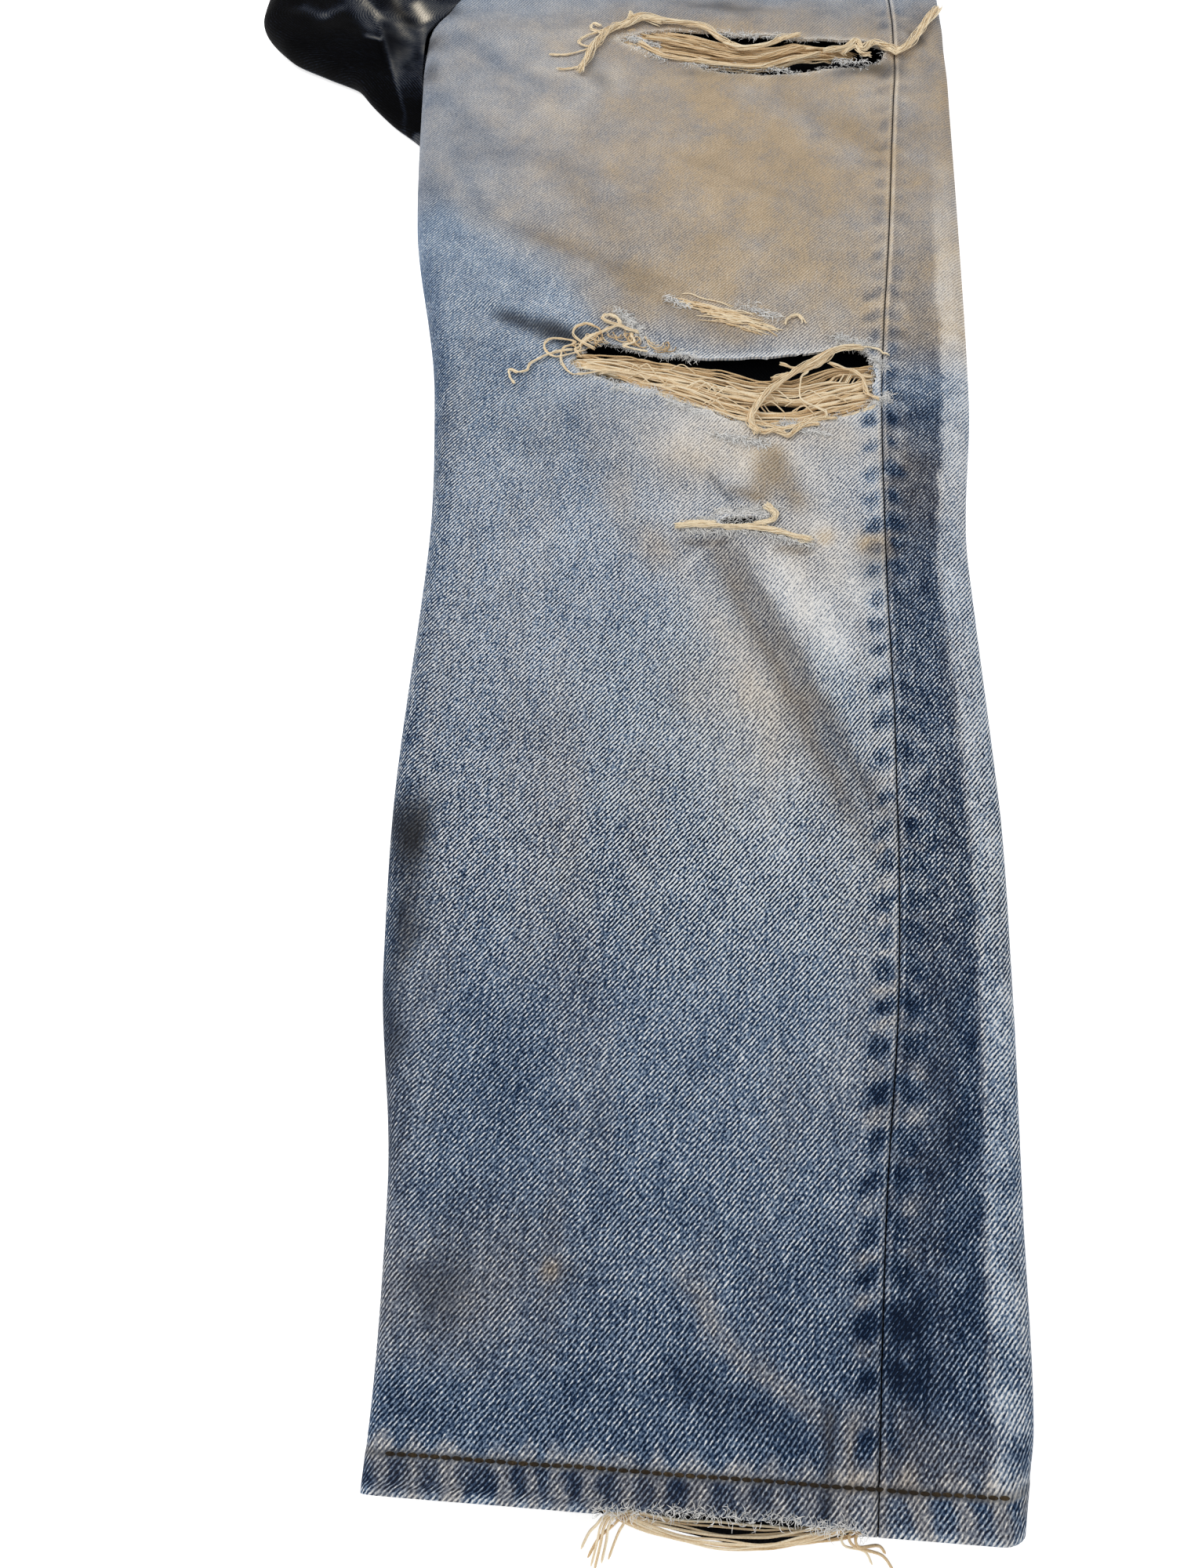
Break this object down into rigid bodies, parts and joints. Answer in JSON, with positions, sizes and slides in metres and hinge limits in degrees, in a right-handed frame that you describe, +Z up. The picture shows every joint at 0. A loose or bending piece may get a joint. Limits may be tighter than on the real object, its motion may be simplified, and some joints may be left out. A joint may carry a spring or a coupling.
{
  "type": "folded ripped jeans",
  "caption": "Worn straight-leg denim jeans folded in half lengthwise and lying flat, with torn thigh, knee and hem, loose weft threads and fading.",
  "frame": {"origin": "middle of the footprint, on the surface that the jeans lie on", "axes": "+X across the leg towards the wearer's left side seam, +Y from hem to waist, +Z up from the surface"},
  "size_m": [0.3784, 0.9644, 0.0224],
  "materials": {
    "denim_faded": "worn twill, faded and soiled",
    "denim_dark": "dark unfaded twill",
    "cotton_thread": "loose undyed weft",
    "button_metal": "dull antique metal"
  },
  "bodies": {
    "root": {"front_left": "denim_faded", "back_left": "denim_faded", "front_right": "denim_dark", "back_right": "denim_faded", "pocket_facing_left": "denim_faded", "fly_shield": "denim_faded", "waistband_left": "denim_faded", "waistband_right": "denim_faded", "waistband_back_right": "denim_faded", "belt_loop_front": "denim_faded", "belt_loop_side": "denim_faded", "waist_button": "button_metal", "knee_rip_threads": "cotton_thread", "thigh_rip_threads": "cotton_thread", "hem_threads": "cotton_thread"}
  },
  "joints": []
}
